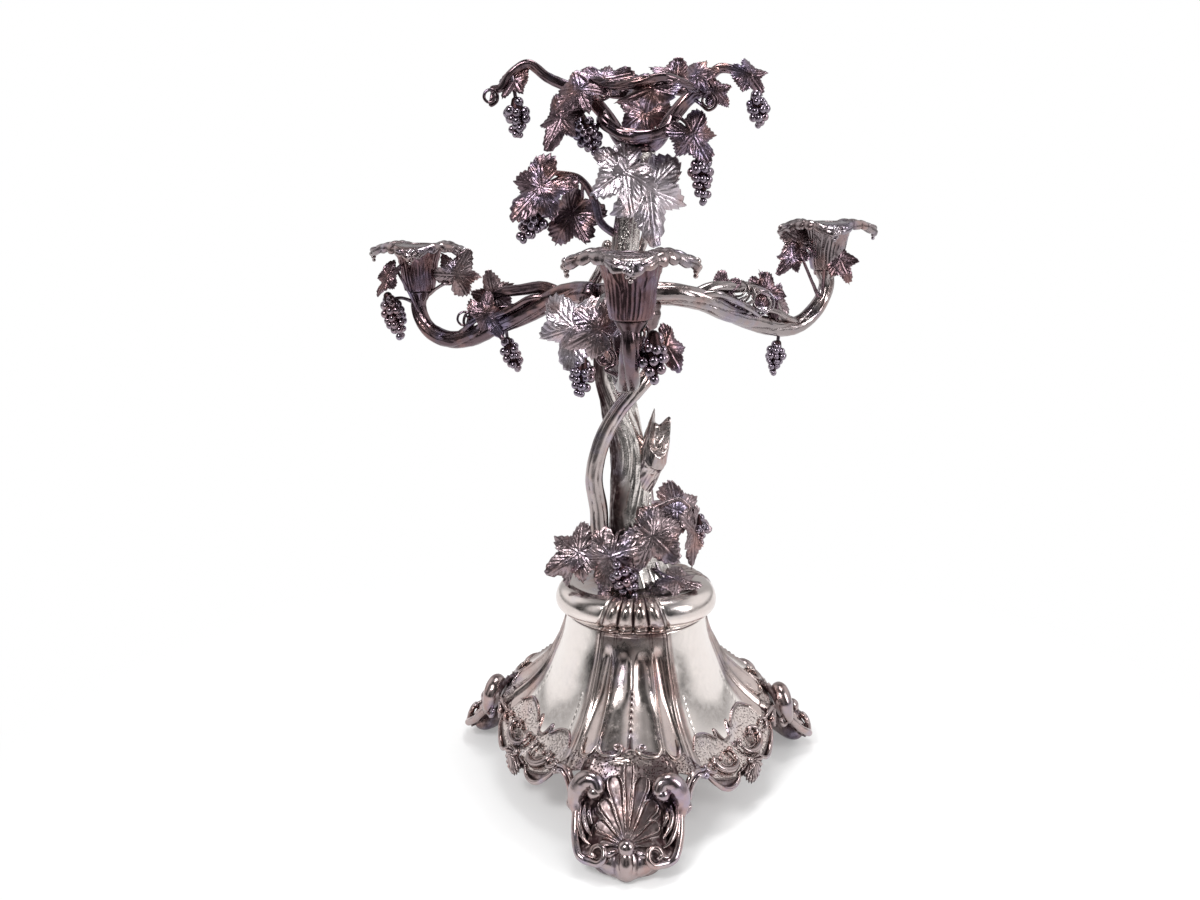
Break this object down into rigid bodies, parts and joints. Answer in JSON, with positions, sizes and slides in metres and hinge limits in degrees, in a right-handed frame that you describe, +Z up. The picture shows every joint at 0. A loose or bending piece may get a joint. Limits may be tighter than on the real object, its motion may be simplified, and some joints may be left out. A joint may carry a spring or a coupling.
{
  "type": "candelabrum",
  "caption": "Silver table candelabrum cast as a grape vine, with lift-out candle branches and nozzles and a lift-off vine basket on a flared scroll-footed base.",
  "frame": {"origin": "on the floor, under the middle of the base", "axes": "+Z up along the trunk, -Y towards the front foot and the front branch, +X to the right of the front"},
  "size_m": [0.4622, 0.4117, 0.6224],
  "materials": {
    "bright_silver": "polished silver with a warm tarnish",
    "dark_silver": "cast silver with dark oxidised hollows",
    "fixings": "plain turned metal"
  },
  "bodies": {
    "root": {"base_dome": "bright_silver", "base_collar": "bright_silver", "foot_front": "bright_silver", "foot_right": "bright_silver", "foot_left": "bright_silver", "apron_right": "bright_silver", "apron_rear": "bright_silver", "apron_left": "bright_silver", "trunk": "bright_silver", "trunk_stump": "bright_silver", "arm_hub": "dark_silver", "upper_stem": "bright_silver", "twisting_vine": "bright_silver", "tie_rod": "fixings", "tie_washer": "fixings", "tie_nut": "fixings", "foot_leaf_left": "dark_silver", "foot_leaf_centre": "dark_silver", "foot_leaf_right": "bright_silver", "foot_leaf_rear": "dark_silver", "foot_leaf_hanging": "dark_silver", "foot_grapes": "dark_silver", "collar_leaf": "bright_silver", "foot_spray": "dark_silver", "foot_spray_grapes": "dark_silver", "hub_leaf": "bright_silver", "hub_grapes": "dark_silver", "stem_leaf_front_left": "bright_silver", "stem_leaf_front_right": "bright_silver", "stem_spray": "dark_silver", "stem_spray_grapes": "dark_silver"},
    "branch_left": {"arm_left": "dark_silver", "cup_left": "dark_silver", "cup_leaf_left": "dark_silver", "arm_leaf_left": "dark_silver", "cup_grapes_left": "dark_silver", "arm_grapes_left": "dark_silver", "tendril_left": "dark_silver"},
    "nozzle_left": {"nozzle_left": "bright_silver"},
    "branch_front": {"arm_front": "dark_silver", "cup_front": "dark_silver", "cup_leaf_front": "dark_silver", "cup_grapes_front": "dark_silver", "tendril_front": "dark_silver"},
    "nozzle_front": {"nozzle_front": "bright_silver"},
    "branch_right": {"arm_right": "dark_silver", "cup_right": "dark_silver", "cup_leaf_right": "dark_silver", "arm_leaf_right": "dark_silver", "arm_grapes_right": "dark_silver", "tendril_right": "dark_silver"},
    "nozzle_right": {"nozzle_right": "bright_silver"},
    "basket": {"basket_crown": "bright_silver", "basket_grapes_left": "dark_silver", "basket_grapes_middle": "dark_silver", "basket_grapes_right": "dark_silver", "basket_grapes_hanging": "dark_silver", "basket_leaf_right": "bright_silver", "basket_leaf_upright": "dark_silver"}
  },
  "joints": [
    {"name": "branch_left_lift", "type": "slide", "parent": "root", "child": "branch_left", "axis": [0, 0, 1], "range_m": [0, 0.018]},
    {"name": "nozzle_left_lift", "type": "slide", "parent": "branch_left", "child": "nozzle_left", "axis": [0, 0, 1], "range_m": [0, 0.034]},
    {"name": "branch_front_lift", "type": "slide", "parent": "root", "child": "branch_front", "axis": [0, 0, 1], "range_m": [0, 0.018]},
    {"name": "nozzle_front_lift", "type": "slide", "parent": "branch_front", "child": "nozzle_front", "axis": [0, 0, 1], "range_m": [0, 0.034]},
    {"name": "branch_right_lift", "type": "slide", "parent": "root", "child": "branch_right", "axis": [0, 0, 1], "range_m": [0, 0.018]},
    {"name": "nozzle_right_lift", "type": "slide", "parent": "branch_right", "child": "nozzle_right", "axis": [0, 0, 1], "range_m": [0, 0.034]},
    {"name": "basket_lift", "type": "slide", "parent": "root", "child": "basket", "axis": [0, 0, 1], "range_m": [0, 0.024]}
  ]
}
